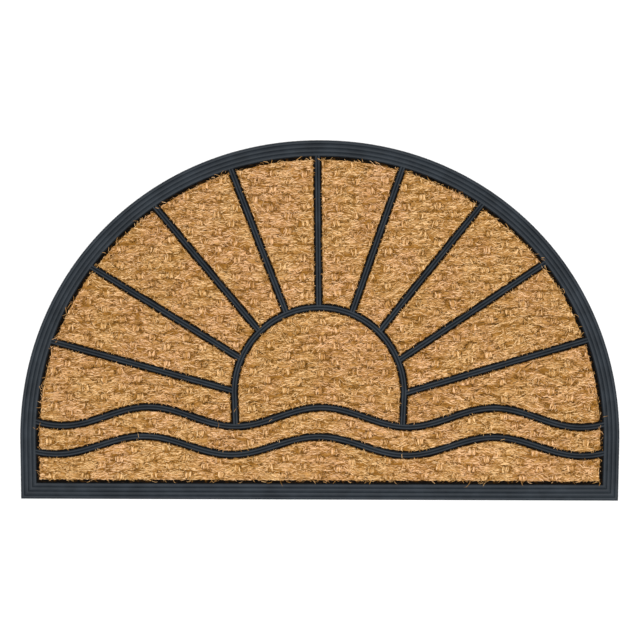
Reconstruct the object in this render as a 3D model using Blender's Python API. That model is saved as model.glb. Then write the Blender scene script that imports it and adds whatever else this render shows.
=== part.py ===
"""A half-round doormat of woven coir set in a moulded rubber tray.

The tray is one moulding: a backing sheet, a stepped border of four rounded ridges, and twin-beaded
ribs that draw a rising sun with nine rays over two waves. The ribs part the coir into thirteen panels,
each bedded in its own pocket.

Metres, +Z up. The mat lies on the floor at z = 0, with its straight front edge towards -Y and the
middle of its bounding rectangle at the origin.
"""

import math

import bmesh
import bpy
from mathutils import Vector

MM = 0.001

# The plan: straight front and sides, and an arch that is a shade fuller than an ellipse.
WIDTH = 762 * MM
DEPTH = 457 * MM
SIDE_LENGTH = 79 * MM
ARCH_FULLNESS = 2.04
ARCH_STEPS = 72
CORNER_DRAW = 1.5 * MM
FRONT = -DEPTH / 2

# Heights above the floor.
BACKING = 2.0 * MM
COIR_BED = BACKING + 0.3 * MM

# The border climbs inwards from its lip in four ridges: (distance in from the edge, height) at each
# change of slope.
LIP_HEIGHT = 2.4 * MM
BORDER_PROFILE = tuple(
    (distance * MM, height * MM)
    for distance, height in (
        (0.9, 3.3),
        (2.9, 3.6),
        (4.2, 2.7),
        (5.4, 4.5),
        (8.3, 5.0),
        (9.7, 4.0),
        (10.9, 5.9),
        (13.8, 6.4),
        (15.2, 5.4),
        (16.4, 7.3),
        (19.5, 7.8),
        (20.3, 7.2),
    )
)
BORDER_WIDTH = BORDER_PROFILE[-1][0]
RIB_INTO_BORDER = 18.0 * MM

# A rib's cross-section: two beads with a shallow furrow between them.
RIB_HALF_WIDTH = 3.2 * MM
BEAD_SPREAD = 1.6 * MM
RIB_HALF_SECTION = tuple(
    (across * MM, height * MM)
    for across, height in ((3.2, 6.0), (2.6, 7.0), (1.6, 7.4), (0.0, 6.7))
)

# A coir panel's edge: (gap to the wall beside it, height). It stands square in its pocket and rolls
# back at the top, further along the border than along the ribs.
PANEL_EDGE = tuple(
    (gap * MM, height * MM) for gap, height in ((0.3, 6.0), (0.9, 8.8), (2.4, 10.0))
)
RIM_EDGE = tuple(
    (gap * MM, height * MM) for gap, height in ((0.3, 5.0), (2.0, 8.4), (4.1, 10.0))
)

# The cutters that part the coir flare on past its top.
CUTTER_TOP = 12.0 * MM
CUTTER_TOP_GAP = 4.8 * MM

# The sun: a half circle on short legs that lean in a little and stand on the upper wave.
SUN_RADIUS = 108 * MM
SUN_CENTRE = Vector((-1.0 * MM, FRONT + 136.7 * MM))
SUN_FOOT_INSET = 2 * MM
SUN_STEPS = 28

# The waves: (middle line's place, swing, length, how far right of the mat's centre line it crests).
UPPER_WAVE = (FRONT + 105.3 * MM, 12.2 * MM, 219.5 * MM, 2.0 * MM)
LOWER_WAVE = (FRONT + 68.7 * MM, 11.6 * MM, 222.5 * MM, -1.0 * MM)
WAVE_STEPS = 64

# The rays nearly meet at one focus: (direction in degrees from +X, how far to its left the ray
# passes the focus). They run from the left side to the right.
FOCUS = Vector((0.0, FRONT + 115.5 * MM))
RAYS = tuple(
    (degrees, miss * MM)
    for degrees, miss in (
        (164.9, 6.8),
        (148.7, -2.1),
        (130.2, -4.5),
        (111.3, -4.0),
        (90.7, 0.4),
        (70.9, 2.1),
        (51.3, 3.0),
        (33.8, -4.0),
        (16.4, -10.6),
    )
)

# Each family of ribs starts at its own depth inside the backing, so that no two of their undersides
# share a plane.
RAY_ROOT = 1.2 * MM
SUN_ROOT = 1.0 * MM
WAVE_ROOT = 0.8 * MM

# Edges sharper than this stay crisp where the rest is shaded smooth.
CREASE_ANGLE = math.radians(30)

RUBBER_COLOUR = (0.045, 0.051, 0.059)
RUBBER_ROUGHNESS = 0.75
COIR_COLOUR = (0.497, 0.266, 0.102)
COIR_ROUGHNESS = 0.95

# Halvings of a line's length that find where it meets the arch, to well under a micrometre.
ARCH_HALVINGS = 40


def outline():
    """The mat's edge seen from above, anticlockwise from the front left corner."""
    half = WIDTH / 2
    spring = FRONT + SIDE_LENGTH
    rise = DEPTH - SIDE_LENGTH
    power = 2 / ARCH_FULLNESS
    points = [(CORNER_DRAW - half, FRONT), (half - CORNER_DRAW, FRONT)]
    for step in range(ARCH_STEPS + 1):
        angle = math.pi * step / ARCH_STEPS
        across, up = math.cos(angle), max(math.sin(angle), 0.0)
        points.append(
            (
                half * math.copysign(abs(across) ** power, across),
                spring + rise * up**power,
            )
        )
    return points


def arch_reach(start, heading, inset):
    """The point where a line from inside the mat meets its arch, moved inwards by inset."""
    half = WIDTH / 2 - inset
    spring = FRONT + SIDE_LENGTH
    rise = DEPTH - SIDE_LENGTH - inset
    near, far = 0.0, WIDTH
    for _ in range(ARCH_HALVINGS):
        middle = (near + far) / 2
        point = start + heading * middle
        share = (abs(point.x) / half) ** ARCH_FULLNESS + (
            max(point.y - spring, 0.0) / rise
        ) ** ARCH_FULLNESS
        if share < 1:
            near = middle
        else:
            far = middle
    return start + heading * near


def ray_path(degrees, miss):
    """A ray's centre line, from the sun's outer bead into the border."""
    angle = math.radians(degrees)
    heading = Vector((math.cos(angle), math.sin(angle)))
    left = Vector((-heading.y, heading.x))
    start = FOCUS + left * miss
    from_centre = start - SUN_CENTRE
    along = from_centre.dot(heading)
    root = SUN_RADIUS + BEAD_SPREAD
    leave = math.sqrt(along**2 - from_centre.length_squared + root**2) - along
    return [start + heading * leave, arch_reach(start, heading, RIB_INTO_BORDER)]


def wave_height(wave, x):
    middle, swing, length, crest = wave
    return middle + swing * math.cos(2 * math.pi * (x - crest) / length)


def wave_path(wave):
    """A wave's centre line, from inside the left border to inside the right one."""
    reach = WIDTH / 2 - RIB_INTO_BORDER
    places = [reach * (2 * step / WAVE_STEPS - 1) for step in range(WAVE_STEPS + 1)]
    return [Vector((x, wave_height(wave, x))) for x in places]


def sun_foot(side):
    """Where one of the sun's legs ends in the upper wave. side is 1 for the right leg and -1 for the left."""
    x = SUN_CENTRE.x + side * (SUN_RADIUS - SUN_FOOT_INSET)
    return Vector((x, wave_height(UPPER_WAVE, x) + BEAD_SPREAD))


def sun_path():
    """The sun's centre line, from its right foot over the top to its left foot."""
    path = [sun_foot(1)]
    for step in range(SUN_STEPS + 1):
        angle = math.pi * step / SUN_STEPS
        spoke = Vector((math.cos(angle), math.sin(angle)))
        path.append(SUN_CENTRE + SUN_RADIUS * spoke)
    path.append(sun_foot(-1))
    return path


def rib_section(root):
    """Across and up, anticlockwise when looked at along the rib."""
    right = [(RIB_HALF_WIDTH, root), *RIB_HALF_SECTION]
    return right + [(-across, height) for across, height in reversed(right[:-1])]


def channel_section():
    """What a rib takes out of the coir: itself, the fitting gap and the rolled edges on both sides."""
    right = [(RIB_HALF_WIDTH + PANEL_EDGE[0][0], 0.0)]
    right += [(RIB_HALF_WIDTH + gap, height) for gap, height in PANEL_EDGE]
    right.append((RIB_HALF_WIDTH + CUTTER_TOP_GAP, CUTTER_TOP))
    return right + [(-across, height) for across, height in reversed(right)]


def material(name, colour, roughness):
    made = bpy.data.materials.new(name)
    made.use_nodes = True
    shader = made.node_tree.nodes["Principled BSDF"]
    shader.inputs["Base Color"].default_value = (*colour, 1.0)
    shader.inputs["Roughness"].default_value = roughness
    shader.inputs["Metallic"].default_value = 0.0
    return made


def add_object(name, shape, finish=None):
    """Turns a bmesh into an object of the scene."""
    bmesh.ops.recalc_face_normals(shape, faces=shape.faces)
    mesh = bpy.data.meshes.new(name)
    shape.to_mesh(mesh)
    shape.free()
    made = bpy.data.objects.new(name, mesh)
    bpy.context.scene.collection.objects.link(made)
    if finish:
        mesh.materials.append(finish)
        mesh.shade_smooth()
        mesh.set_sharp_from_angle(angle=CREASE_ANGLE)
    return made


def plan_face(shape, inset, height):
    """One flat face of the mat's outline, moved inwards by inset."""
    corners = [shape.verts.new((x, y, height)) for x, y in outline()]
    face = shape.faces.new(corners)
    face.normal_update()
    if inset:
        rim = bmesh.ops.inset_individual(
            shape, faces=[face], thickness=inset, use_even_offset=True
        )
        bmesh.ops.delete(shape, geom=rim["faces"], context="FACES")
    return face


def extrude_up(shape, face, rise):
    """Raises a copy of the face on upright walls and returns it. The face itself stays as the underside."""
    grown = bmesh.ops.extrude_face_region(shape, geom=[face])["geom"]
    top = next(item for item in grown if isinstance(item, bmesh.types.BMFace))
    bmesh.ops.translate(shape, verts=top.verts, vec=(0, 0, rise))
    return top


def step_in(shape, face, inwards, rise):
    """Moves the top face inwards and up by one length of a profile."""
    bmesh.ops.inset_individual(
        shape, faces=[face], thickness=inwards, depth=rise, use_even_offset=True
    )


def sweep(name, path, section):
    """A closed bar of one cross-section, upright all along a path in plan."""
    shape = bmesh.new()
    rings = []
    for place, point in enumerate(path):
        before = path[max(place - 1, 0)]
        after = path[min(place + 1, len(path) - 1)]
        heading = (after - before).normalized()
        right = Vector((heading.y, -heading.x))
        rings.append(
            [
                shape.verts.new((*(point + right * across), height))
                for across, height in section
            ]
        )
    for ring, following in zip(rings, rings[1:]):
        for place in range(len(section)):
            shape.faces.new(
                (
                    ring[place - 1],
                    ring[place],
                    following[place],
                    following[place - 1],
                )
            )
    shape.faces.new(rings[0])
    shape.faces.new(reversed(rings[-1]))
    return add_object(name, shape)


def boolean(target, other, operation):
    """Joins other to target or takes it away, and keeps other as a guide that isn't part of the mat."""
    step = target.modifiers.new(other.name, "BOOLEAN")
    step.operation = operation
    step.object = other
    step.solver = "EXACT"
    other.hide_render = True
    other.display_type = "WIRE"


def sweep_all(prefix, section_of):
    """Sweeps a section along the sun, the waves and the rays. section_of gives it for a rib's root height."""
    lines = [("sun", sun_path(), SUN_ROOT)]
    lines += [
        ("upper_wave", wave_path(UPPER_WAVE), WAVE_ROOT),
        ("lower_wave", wave_path(LOWER_WAVE), WAVE_ROOT),
    ]
    lines += [
        (f"ray_{number}", ray_path(degrees, miss), RAY_ROOT)
        for number, (degrees, miss) in enumerate(RAYS, 1)
    ]
    return [
        sweep(f"{prefix}_{name}", path, section_of(root)) for name, path, root in lines
    ]


def build_moulding(finish):
    """The rubber tray: backing, border and ribs in one piece."""
    shape = bmesh.new()
    top = extrude_up(shape, plan_face(shape, 0.0, 0.0), LIP_HEIGHT)
    distance, height = 0.0, LIP_HEIGHT
    for next_distance, next_height in BORDER_PROFILE:
        step_in(shape, top, next_distance - distance, next_height - height)
        distance, height = next_distance, next_height
    extrude_up(shape, top, BACKING - height)
    shape.faces.remove(top)
    tray = add_object("rubber_moulding", shape, finish)
    for rib in sweep_all("rib", rib_section):
        boolean(tray, rib, "UNION")
    return tray


def coir_blank():
    """The coir before the ribs part it: one piece that fits inside the border, its top edge rolled back."""
    shape = bmesh.new()
    gap, height = RIM_EDGE[0]
    top = extrude_up(
        shape, plan_face(shape, BORDER_WIDTH + gap, COIR_BED), height - COIR_BED
    )
    for next_gap, next_height in RIM_EDGE[1:]:
        step_in(shape, top, next_gap - gap, next_height - height)
        gap, height = next_gap, next_height
    return add_object("coir_blank", shape)


def islands(shape):
    """The separate bodies of a bmesh, each as a list of its faces."""
    left = list(shape.faces)
    while left:
        found, front = set(), {left[0]}
        while front:
            found |= front
            front = {
                other
                for face in front
                for side in face.edges
                for other in side.link_faces
            } - found
        yield [face for face in left if face in found]
        left = [face for face in left if face not in found]


def panel_name(middle):
    """Names a panel by where its middle lies."""
    if middle.y < wave_height(LOWER_WAVE, middle.x):
        return "coir_shore"
    if middle.y < wave_height(UPPER_WAVE, middle.x):
        return "coir_wave"
    if (middle - SUN_CENTRE).length < SUN_RADIUS:
        return "coir_sun"
    from_focus = middle - FOCUS
    heading = math.degrees(math.atan2(from_focus.y, from_focus.x))
    number = 1 + sum(degrees > heading for degrees, _ in RAYS)
    return f"coir_ray_{number:02d}"


def build_panels(finish):
    """Cuts the blank along every rib and makes each piece of coir an object of its own."""
    blank = coir_blank()
    for cutter in sweep_all("channel", lambda root: channel_section()):
        boolean(blank, cutter, "DIFFERENCE")
    bpy.context.view_layer.update()
    cut = blank.evaluated_get(bpy.context.evaluated_depsgraph_get()).to_mesh()
    whole = bmesh.new()
    whole.from_mesh(cut)
    for faces in islands(whole):
        corners = dict.fromkeys(corner for face in faces for corner in face.verts)
        across = [corner.co.x for corner in corners]
        along = [corner.co.y for corner in corners]
        middle = Vector((min(across) + max(across), min(along) + max(along))) / 2
        shape = bmesh.new()
        copies = {corner: shape.verts.new(corner.co) for corner in corners}
        for face in faces:
            shape.faces.new([copies[corner] for corner in face.verts])
        add_object(panel_name(middle), shape, finish)
    whole.free()
    blank.hide_render = True
    blank.display_type = "WIRE"


def main():
    for item in list(bpy.data.objects):
        bpy.data.objects.remove(item)
    rubber = material("black_rubber", RUBBER_COLOUR, RUBBER_ROUGHNESS)
    coir = material("natural_coir", COIR_COLOUR, COIR_ROUGHNESS)
    build_moulding(rubber)
    build_panels(coir)


if __name__ == "__main__":
    main()
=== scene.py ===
"""The looks of the half-round coir doormat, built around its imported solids.

The rubber tray is moulded again with rounder ridges and beads. Every field of coir becomes a woven bed of
pillowy yarn crossings, covered with loose strands that follow the weave, with frayed ends at its edges.
Metres, in the solids' own frame: the mat lies at z = 0 with its straight front edge towards -Y.
"""

import math

import bmesh
import bpy
import numpy as np
from bpy.props import FloatProperty, FloatVectorProperty, IntProperty, PointerProperty
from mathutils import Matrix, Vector
from mathutils.geometry import delaunay_2d_cdt


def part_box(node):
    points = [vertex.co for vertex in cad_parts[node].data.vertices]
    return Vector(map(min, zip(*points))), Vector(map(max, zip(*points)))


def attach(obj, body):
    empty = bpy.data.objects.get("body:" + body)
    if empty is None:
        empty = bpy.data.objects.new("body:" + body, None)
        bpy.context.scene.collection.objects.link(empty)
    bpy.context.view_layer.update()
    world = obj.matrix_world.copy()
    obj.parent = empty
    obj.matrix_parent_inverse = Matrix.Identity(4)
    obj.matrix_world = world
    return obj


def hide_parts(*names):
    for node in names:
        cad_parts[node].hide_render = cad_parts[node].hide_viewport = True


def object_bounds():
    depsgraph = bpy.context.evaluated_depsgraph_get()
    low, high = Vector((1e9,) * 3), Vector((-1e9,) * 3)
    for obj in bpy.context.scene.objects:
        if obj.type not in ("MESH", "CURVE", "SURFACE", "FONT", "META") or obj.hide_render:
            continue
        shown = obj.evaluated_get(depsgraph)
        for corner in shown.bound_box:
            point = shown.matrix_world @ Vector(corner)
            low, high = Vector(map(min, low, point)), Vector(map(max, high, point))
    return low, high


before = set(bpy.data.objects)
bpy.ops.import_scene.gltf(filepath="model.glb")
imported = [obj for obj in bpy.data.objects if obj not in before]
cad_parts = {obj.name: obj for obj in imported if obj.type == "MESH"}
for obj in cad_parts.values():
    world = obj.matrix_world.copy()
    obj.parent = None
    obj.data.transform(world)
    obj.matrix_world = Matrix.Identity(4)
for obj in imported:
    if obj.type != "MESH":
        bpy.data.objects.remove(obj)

bl_info = {
    "name": "Half-round coir doormat",
    "version": (1, 0, 0),
    "blender": (4, 5, 0),
    "location": "3D View > Sidebar > Doormat",
    "description": "Dresses a coir doormat: moulded rubber, woven coir, frayed ends and a plain stage",
    "category": "Object",
}

MM = 0.001

# The mat's box, straight from the solids.
CAD_LOW, CAD_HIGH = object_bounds()
WIDTH = CAD_HIGH.x - CAD_LOW.x
DEPTH = CAD_HIGH.y - CAD_LOW.y
FRONT = CAD_LOW.y
COIR_TOP = CAD_HIGH.z

# The plan of the moulding: straight sides, and an arch that is a shade fuller than an ellipse.
SIDE_LENGTH = 79 * MM
ARCH_FULLNESS = 2.04
CORNER_DRAW = 1.5 * MM
ARCH_STEPS = 144
# Points on the straight edges stand further from a corner than the border is wide, or its rings would fold.
SIDE_STEPS = 2
FRONT_STEPS = 6

# The border: each groove's distance in from the edge and its height. A ridge swells between two of them,
# by a share of its width.
LIP_HEIGHT = 2.4 * MM
BACKING = 2.0 * MM
GROOVES = tuple(
    (distance * MM, height * MM)
    for distance, height in ((0.0, 2.4), (4.2, 2.7), (9.7, 4.0), (15.2, 5.4), (20.3, 6.6))
)
RIDGE_STEPS = 9
RIDGE_RISE = 0.29
RIDGE_FULLNESS = 0.6
RIB_INTO_BORDER = 18.0 * MM

# Half of a rib's cross-section, from its foot over the bead to the furrow in the middle.
RIB_ROOT = 1.0 * MM
BEAD_SPREAD = 1.6 * MM
RIB_HALF_SECTION = tuple(
    (across * MM, height * MM)
    for across, height in (
        (3.20, 5.80),
        (3.10, 6.45),
        (2.75, 7.00),
        (2.20, 7.32),
        (1.60, 7.40),
        (1.00, 7.20),
        (0.45, 6.35),
        (0.00, 5.60),
    )
)

# The drawing that the ribs make, as in the solids.
SUN_RADIUS = 108 * MM
SUN_CENTRE = Vector((-1.0 * MM, FRONT + 136.7 * MM))
SUN_FOOT_INSET = 2 * MM
SUN_STEPS = 72
UPPER_WAVE = (FRONT + 105.3 * MM, 12.2 * MM, 219.5 * MM, 2.0 * MM)
LOWER_WAVE = (FRONT + 68.7 * MM, 11.6 * MM, 222.5 * MM, -1.0 * MM)
WAVE_STEPS = 180
RAY_STEPS = 24
FOCUS = Vector((0.0, FRONT + 115.5 * MM))
RAYS = tuple(
    (degrees, miss * MM)
    for degrees, miss in (
        (164.9, 6.8),
        (148.7, -2.1),
        (130.2, -4.5),
        (111.3, -4.0),
        (90.7, 0.4),
        (70.9, 2.1),
        (51.3, 3.0),
        (33.8, -4.0),
        (16.4, -10.6),
    )
)
ARCH_HALVINGS = 40

# A coir field's edge: how far the yarns stand back from the pocket's wall beside a rib and beside the
# border, how far they then take to roll up to the top, and how ragged the cut is. Past the cut there is
# only a thin bed.
RIB_GAP = 1.8 * MM
RIM_GAP = 4.4 * MM
EDGE_ROLL = 1.5 * MM
EDGE_HEIGHT = 6.6 * MM
EDGE_RAG = 0.55 * MM
EDGE_RAG_SIZE = 3.0 * MM
EDGE_STEEPNESS = 8.0
GAP_FLOOR = 3.0 * MM
RIM_DISTANCE = 22.0 * MM

# How high the frayed ends lie in the gap, and how high they must be where they cross the rubber.
FRAY_LOW = 4.0 * MM
FRAY_HIGH = 7.5 * MM
CLEAR_OF_RUBBER = 8.3 * MM

# How finely the woven bed is meshed, and how far it lies below the coir's surface.
BED_SPACING = 2.0 * MM
BED_BELOW = 1.3 * MM
# Rings of points that make the wall of the cut steep, measured from the cut, and how closely they must
# keep to their own stretch of it.
WALL_RINGS = (-0.35 * MM, 0.1 * MM, 0.9 * MM)
RING_TOLERANCE = 0.9

# How uneven the weave is: how far a crossing lies off its place, across and up, how far a row is beaten
# in to one side, how far a crossing is turned, and how much its tone differs.
CROSSING_OFF = (1.2 * MM, 0.8 * MM)
ROW_OFF = 1.3 * MM
CROSSING_TURN = math.radians(5)
CROSSING_TONE = 0.03
# How far the yarns wander from their straight courses, across and up, and over what distance.
DRIFT = (4.0 * MM, 2.6 * MM)
DRIFT_SIZE = (55 * MM, 70 * MM)
# How far the yarns' run swings to and fro over the mat, and over what distance.
SWIRL = math.radians(8)
SWIRL_SIZE = 45 * MM
# The warp comes up unevenly: some bits stay down under the weft. Each lift is a mean and a spread.
WEFT_LIFT = (0.0, 0.2 * MM)
WARP_LIFT = (0.1 * MM, 0.4 * MM)
FLOAT_LENGTHS = (0.9, 1.15)

# Tones run from 0, dark, to 1, pale. A yarn is shaded beyond a share of its half width, on the side that
# tucks under its neighbour, and beyond a share of its half length, where it dives under the warp.
YARN_TONE = 0.70
SIDE_SHADES = (0.2, 1.1)
SIDE_SHADED_FROM = 0.7
END_SHADE = 0.5
END_SHADED_FROM = 0.6
PATCH_TONE = 0.03
PATCH_SIZE = 38 * MM
# How much paler than the others the coir of some fields is. In the shore and the wave, by the front, this is
# painted light, as though more light fell on the front.
FIELD_TONES = {
    "coir_shore": 0.05,
    "coir_wave": 0.04,
    "coir_ray_02": 0.02,
    "coir_ray_04": 0.03,
    "coir_ray_05": 0.05,
    "coir_ray_06": 0.03,
    "coir_ray_07": 0.04,
}

# The strands of a weft float: their length, how they slant, and how far out they lie in half widths of
# the yarn.
WEFT_STRAND = (4 * MM, 12 * MM)
WEFT_SLANT = math.radians(13)
WEFT_SPREAD = 1.12
# The strands of a warp bit: their length in lengths of the bit, how they slant, and where its two strokes
# lie in half widths, as a mean and a spread. A warp yarn is a pair, so it shows as two upright strokes.
WARP_STRAND = (0.75, 1.15)
WARP_SLANT = math.radians(9)
WARP_STROKE = (0.75, 0.22)
# How much a yarn narrows towards its ends.
YARN_NARROWS = 0.1
# How far the strands of a yarn lie below the coir's top, how much that differs, and how far their ends dive.
STRANDS_BELOW = 0.9 * MM
STRANDS_DIFFER = 0.6 * MM
ENDS_DIVE = 0.5 * MM

# Dark bits painted as the shade in the crevices where a float dives under the warp: their length, how far
# out along the float they lie as a mean and a spread, how many of them stand upright, how far they are
# turned, and how far they lie below the coir's top.
CREVICE_SHADE_BIT = (1.8 * MM, 4.2 * MM)
CREVICE_SHADE_PLACE = (0.84, 0.2)
CREVICE_SHADE_UPRIGHT = 0.4
CREVICE_SHADE_TURN = math.radians(25)
CREVICE_SHADE_BELOW = (0.5 * MM, 1.1 * MM)
CREVICE_SHADE_TONES = (0.0, 0.3)

# Loose strands: their length, how far they are turned from the weft, their bow in lengths, and how far their
# middles lie above the coir's top and their ends below that.
LOOSE_STRAND = (5 * MM, 15 * MM)
LOOSE_TURN = math.radians(48)
LOOSE_BOW = 0.12
LOOSE_LIFT = (-0.4 * MM, 0.6 * MM)
LOOSE_DIVE = 0.8 * MM
LOOSE_TONE = (0.80, 0.14)

# Strands along the cut: how far in from it they lie, and their tone as a mean and a spread.
BESIDE_CUT = (0.5 * MM, 2.2 * MM)
BESIDE_TONE = (0.62, 0.14)

# Frayed ends: how far in from the cut they start, how far below the coir's top, and their bow in lengths.
FRAY_START = (0.2 * MM, 2.2 * MM)
FRAY_BELOW = (0.4 * MM, 1.5 * MM)
FRAY_BOW = 0.2
FRAY_TONE_SPREAD = 0.17
# Beside a rib they are short. Beside the border they lean over, mostly along it, and some of them are long:
# the reach is a mean in millimetres.
RIB_FRAY_REACH = (1.0 * MM, 3.6 * MM)
RIB_FRAY_LEAN = math.radians(40)
RIB_FRAY_TONE = 0.55
RIM_FRAY_MEAN_REACH = 5.0
RIM_FRAY_LEAN = (math.radians(65), math.radians(20))
RIM_FRAY_TONE = 0.62
# The fray along the border thickens and thins over 9 mm, and gathers into tufts at these places: x, y and
# reach in millimetres.
RIM_FRAY_SIZE = 9 * MM
RIM_FRAY_EVEN = 0.45
RIM_FRAY_UNEVEN = 0.45
TUFT_FRAY = 2.2
TUFTS = ((-127, 182, 11), (179, 158, 9), (-232, 128, 7), (262, 84, 7))

# Stray fibres that lie over the ribs: place (x, y) and length in millimetres, and heading in degrees.
STRAYS = (
    (-130, -134, 9, 75),
    (-230, -147, 8, 100),
    (105, -172, 8, 95),
    (-107, -115, 7, 60),
    (-62, -128, 7, 40),
    (232, -152, 8, 15),
    (180, -20, 9, 70),
    (-150, 20, 8, 160),
    (60, 90, 7, 20),
    (-255, 62, 8, 50),
    (305, -140, 6, 120),
    (-20, -124, 6, 80),
)
# How high a stray fibre's middle lies, how far its ends curl up from there, and its bow in lengths.
STRAY_HEIGHT = 10.0 * MM
STRAY_CURL = 0.5 * MM
STRAY_BOW = 0.16
STRAY_TONES = (0.6, 0.95)

# Points along a strand, which is a tube with pointed ends: a tip, two rings and a tip.
STRAND_PLACES = np.array([0.0, 0.27, 0.73, 1.0])
STRAND_RINGS = len(STRAND_PLACES) - 2
STRAND_SIDES = 3

# The grid of random values behind the smooth noise, and how many points are measured at a time.
NOISE_CELLS = 64
NOISE_START = (31.3, 31.7)
POINTS_AT_A_TIME = 4096


def linear(hex_colour):
    """An sRGB hex colour as the linear values that Blender's shaders take."""
    parts = [int(hex_colour[place : place + 2], 16) / 255 for place in (1, 3, 5)]
    return tuple(
        part / 12.92 if part <= 0.04045 else ((part + 0.055) / 1.055) ** 2.4
        for part in parts
    )


class DoormatWeave(bpy.types.PropertyGroup):
    row_pitch: FloatProperty(
        name="Weft spacing",
        description="From one weft yarn to the next",
        default=11.1 * MM,
        unit="LENGTH",
    )
    column_pitch: FloatProperty(
        name="Warp spacing",
        description="From one warp yarn to the next",
        default=21.2 * MM,
        unit="LENGTH",
    )
    yarn_rise: FloatProperty(
        name="Yarn rise",
        description="How far a yarn crowns up between two crossings",
        default=1.5 * MM,
        unit="LENGTH",
    )
    strand_width: FloatProperty(
        name="Strand width",
        description="A strand's width: coarser than one fibre, so that it shows",
        default=1.06 * MM,
        unit="LENGTH",
    )
    strand_curl: FloatProperty(
        name="Strand curl",
        description="How far a strand strays from its line",
        default=0.5 * MM,
        unit="LENGTH",
    )
    yarn_round: FloatProperty(
        name="Yarn roundness",
        description="How far a yarn falls away at its sides",
        default=0.7 * MM,
        unit="LENGTH",
    )
    tone_spread: FloatProperty(
        name="Tone spread", description="How much the strands' tones differ", default=0.27
    )
    weft_strands: IntProperty(
        name="Strands in a weft float", description="Strands that show in one weft float", default=90
    )
    warp_strands: IntProperty(
        name="Strands in a warp bit", description="Strands that show where the warp comes up", default=18
    )
    # Painted shade: dark bits laid at the ends of each weft float, where it dives under the warp.
    crevice_shade_bits: IntProperty(
        name="Crevice shade bits", description="Dark bits of painted shade where each weft float dives", default=22
    )
    beside_strands: FloatProperty(
        name="Strands along the cut", description="Strands lying along the cut, per step of it", default=0.9
    )
    rib_fray: FloatProperty(
        name="Rib fray", description="Loose ends beside a rib, per step of the outline", default=1.0
    )
    rim_fray: FloatProperty(
        name="Rim fray", description="Loose ends beside the border, per step of the outline", default=2.2
    )
    loose_strands: IntProperty(
        name="Loose strands", description="Strands that lie across the weave", default=3500
    )
    seed: IntProperty(name="Seed", description="Starts the random draws", default=11)


class DoormatColours(bpy.types.PropertyGroup):
    rubber: FloatVectorProperty(
        name="Rubber", description="The moulding's colour", subtype="COLOR", default=linear("#1B2127")
    )
    rubber_dust: FloatVectorProperty(
        name="Dust", description="Dust on the rubber", subtype="COLOR", default=linear("#2A3138")
    )
    # Shaded coir and deep coir are painted shade: the bed darkens through them towards the foot of its gaps
    # and pockets. Deep coir is also the tone of the darkest strands and the painted shade at the strands'
    # tips.
    coir_shade: FloatVectorProperty(
        name="Shaded coir", description="The foot of the gaps", subtype="COLOR", default=linear("#0E0A07")
    )
    coir_deep: FloatVectorProperty(
        name="Deep coir", description="Coir between the yarns", subtype="COLOR", default=linear("#50330E")
    )
    coir_brown: FloatVectorProperty(
        name="Brown coir", description="Dark strands", subtype="COLOR", default=linear("#956628")
    )
    coir_tan: FloatVectorProperty(
        name="Tan coir", description="Most strands", subtype="COLOR", default=linear("#C99A5F")
    )
    coir_straw: FloatVectorProperty(
        name="Straw coir", description="The palest strands", subtype="COLOR", default=linear("#F4CC9B")
    )
    golden: FloatVectorProperty(
        name="Golden tint", description="Tint of golden patches", subtype="COLOR", default=linear("#FFFFF5")
    )
    pink: FloatVectorProperty(
        name="Pink tint", description="Tint of pinker patches", subtype="COLOR", default=linear("#FFFAFC")
    )


class DoormatStage(bpy.types.PropertyGroup):
    floor_colour: FloatVectorProperty(
        name="Floor", description="The floor's colour", subtype="COLOR", default=linear("#F4F4F4")
    )
    camera_height: FloatProperty(
        name="Camera height", description="From the floor to the camera", default=2.2, unit="LENGTH"
    )
    camera_turn: FloatProperty(
        name="Camera turn",
        description="How far the camera is turned about its line of sight",
        default=math.radians(0.2),
        subtype="ANGLE",
    )
    lamp_power: FloatProperty(
        name="Soft box", description="Power of the soft box", default=31.5, unit="POWER"
    )
    sky_strength: FloatProperty(
        name="Surround", description="Brightness of the white surround", default=0.62
    )


def half_round(step):
    """The mat's edge in plan, anticlockwise from the top of its right side: arch, side, front, side."""
    half = WIDTH / 2
    spring = FRONT + SIDE_LENGTH
    corner = half - CORNER_DRAW
    if step <= ARCH_STEPS:
        angle = math.pi * step / ARCH_STEPS
        power = 2 / ARCH_FULLNESS
        across = math.copysign(abs(math.cos(angle)) ** power, math.cos(angle))
        up = max(math.sin(angle), 0.0) ** power
        return half * across, spring + (DEPTH - SIDE_LENGTH) * up
    step -= ARCH_STEPS
    if step <= SIDE_STEPS:
        share = step / SIDE_STEPS
        return -half + CORNER_DRAW * share, spring - SIDE_LENGTH * share
    step -= SIDE_STEPS
    if step <= FRONT_STEPS:
        return corner * (2 * step / FRONT_STEPS - 1), FRONT
    share = 1 - (step - FRONT_STEPS) / SIDE_STEPS
    return half - CORNER_DRAW * share, spring - SIDE_LENGTH * share


def border_profile():
    """(distance in from the edge, height) along the border's rounded ridges."""
    points = []
    for (start, low), (end, high) in zip(GROOVES, GROOVES[1:]):
        crown = RIDGE_RISE * (end - start)
        for step in range(1, RIDGE_STEPS + 1):
            share = step / RIDGE_STEPS
            swell = crown * math.sin(math.pi * share) ** RIDGE_FULLNESS
            points.append((start + (end - start) * share, low + (high - low) * share + swell))
    return points


def arch_reach(start, heading, inset):
    """The point where a line from inside the mat meets its arch, moved inwards by inset."""
    half = WIDTH / 2 - inset
    spring = FRONT + SIDE_LENGTH
    rise = DEPTH - SIDE_LENGTH - inset
    near, far = 0.0, WIDTH
    for _ in range(ARCH_HALVINGS):
        middle = (near + far) / 2
        point = start + heading * middle
        up = max(point.y - spring, 0.0) / rise
        if (abs(point.x) / half) ** ARCH_FULLNESS + up**ARCH_FULLNESS < 1:
            near = middle
        else:
            far = middle
    return start + heading * near


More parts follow.
